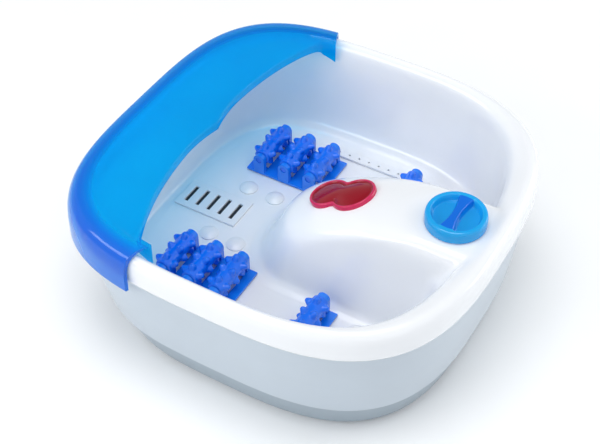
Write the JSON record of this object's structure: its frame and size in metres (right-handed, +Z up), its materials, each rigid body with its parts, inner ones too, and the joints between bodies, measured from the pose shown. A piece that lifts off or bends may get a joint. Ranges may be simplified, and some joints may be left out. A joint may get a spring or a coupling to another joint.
{
  "type": "foot spa basin",
  "caption": "Free-standing foot spa basin with two foot wells, massage rollers, air bubbles, an infrared window, a mode knob and a lift-off translucent splash guard.",
  "frame": {"origin": "centre of the box under the rubber feet, on the floor", "axes": "+Z up, +Y towards the toe end with the splash guard, +X to the right of someone sitting at the heel end with the knob"},
  "size_m": [0.3668, 0.3754, 0.1543],
  "materials": {
    "ball_orange": "satin",
    "black_plastic": "matte",
    "contact_brass": "satin",
    "foot_rubber": "matte",
    "fuse_ceramic": "matte",
    "grey_shell": "satin",
    "guard_blue": "translucent gloss",
    "heater_foil": "film",
    "holder_white": "matte",
    "inner_grey": "matte",
    "inner_white": "gloss",
    "knob_blue": "translucent gloss",
    "lamp_glass": "clear",
    "lens_red": "translucent gloss",
    "motor_steel": "plated",
    "pan_grey": "satin",
    "reflector": "polished",
    "roller_blue": "gloss",
    "screw_steel": "brushed",
    "shaft_steel": "turned",
    "tray_blue": "gloss",
    "weight_iron": "rough",
    "white_shell": "gloss",
    "wire_blue": "satin"
  },
  "bodies": {
    "basin": {"tub": "white_shell", "housing_ring": "grey_shell", "base_pan": "pan_grey", "rubber_feet": "foot_rubber", "base_screws": "screw_steel", "floor_grille": "inner_white", "bubble_strip_left": "inner_white", "bubble_strip_right": "inner_white", "massage_domes": "inner_white", "switch_body": "black_plastic", "switch_contacts": "contact_brass", "switch_nut": "screw_steel", "switch_gasket": "foot_rubber", "ir_lens": "lens_red", "lens_gasket": "foot_rubber", "lamp_holder": "holder_white", "ir_lamps": "lamp_glass", "lamp_reflector": "reflector", "front_tray_left": "tray_blue", "front_tray_right": "tray_blue", "rear_tray_left": "tray_blue", "rear_tray_right": "tray_blue", "motor_can": "motor_steel", "motor_bearings": "contact_brass", "blower_housing": "inner_grey", "blower_cover": "inner_grey", "motor_cradle": "inner_grey", "motor_mounts": "foot_rubber", "motor_straps": "screw_steel", "strap_screws": "screw_steel", "valve_body": "holder_white", "valve_seal": "foot_rubber", "air_hose": "inner_grey", "air_manifold": "inner_grey", "heater_left": "heater_foil", "heater_right": "heater_foil", "thermostat": "black_plastic", "thermal_fuse": "fuse_ceramic", "terminal_block": "holder_white", "cord_gland": "black_plastic", "cord_clamp": "black_plastic", "clamp_screws": "screw_steel", "wire_harness": "wire_blue"},
    "splash_guard": {"splash_guard": "guard_blue"},
    "knob": {"knob": "knob_blue", "switch_shaft": "shaft_steel"},
    "rotor": {"motor_shaft": "shaft_steel", "eccentric_weight": "weight_iron", "blower_fan": "holder_white"},
    "valve_ball": {"valve_ball": "ball_orange"},
    "front_roller_left_1": {"front_roller_left_1": "roller_blue"},
    "front_roller_right_1": {"front_roller_right_1": "roller_blue"},
    "front_roller_left_2": {"front_roller_left_2": "roller_blue"},
    "front_roller_right_2": {"front_roller_right_2": "roller_blue"},
    "front_roller_left_3": {"front_roller_left_3": "roller_blue"},
    "front_roller_right_3": {"front_roller_right_3": "roller_blue"},
    "rear_roller_left": {"rear_roller_left": "roller_blue"},
    "rear_roller_right": {"rear_roller_right": "roller_blue"}
  },
  "joints": [
    {"name": "guard_lift", "type": "slide", "parent": "basin", "child": "splash_guard", "axis": [0, 0, 1], "range_m": [0, 0.08]},
    {"name": "knob_turn", "type": "hinge", "parent": "basin", "child": "knob", "pos_m": [0, -0.139, 0.15], "axis": [0, 0, -1], "range_deg": [0, 135]},
    {"name": "front_roller_left_1_spin", "type": "hinge", "parent": "basin", "child": "front_roller_left_1", "pos_m": [-0.086, 0.038, 0.06], "axis": [1, 0, 0], "continuous": true},
    {"name": "front_roller_right_1_spin", "type": "hinge", "parent": "basin", "child": "front_roller_right_1", "pos_m": [0.086, 0.038, 0.06], "axis": [1, 0, 0], "continuous": true},
    {"name": "front_roller_left_2_spin", "type": "hinge", "parent": "basin", "child": "front_roller_left_2", "pos_m": [-0.086, 0.066, 0.06], "axis": [1, 0, 0], "continuous": true},
    {"name": "front_roller_right_2_spin", "type": "hinge", "parent": "basin", "child": "front_roller_right_2", "pos_m": [0.086, 0.066, 0.06], "axis": [1, 0, 0], "continuous": true},
    {"name": "front_roller_left_3_spin", "type": "hinge", "parent": "basin", "child": "front_roller_left_3", "pos_m": [-0.086, 0.094, 0.06], "axis": [1, 0, 0], "continuous": true},
    {"name": "front_roller_right_3_spin", "type": "hinge", "parent": "basin", "child": "front_roller_right_3", "pos_m": [0.086, 0.094, 0.06], "axis": [1, 0, 0], "continuous": true},
    {"name": "rear_roller_left_spin", "type": "hinge", "parent": "basin", "child": "rear_roller_left", "pos_m": [-0.093, -0.05, 0.06], "axis": [1, 0, 0], "continuous": true},
    {"name": "rear_roller_right_spin", "type": "hinge", "parent": "basin", "child": "rear_roller_right", "pos_m": [0.093, -0.05, 0.06], "axis": [1, 0, 0], "continuous": true},
    {"name": "rotor_spin", "type": "hinge", "parent": "basin", "child": "rotor", "pos_m": [0, -0.063, 0.06], "axis": [0, 1, 0], "continuous": true},
    {"name": "valve_lift", "type": "slide", "parent": "basin", "child": "valve_ball", "axis": [0, 0, 1], "range_m": [0, 0.006]}
  ]
}
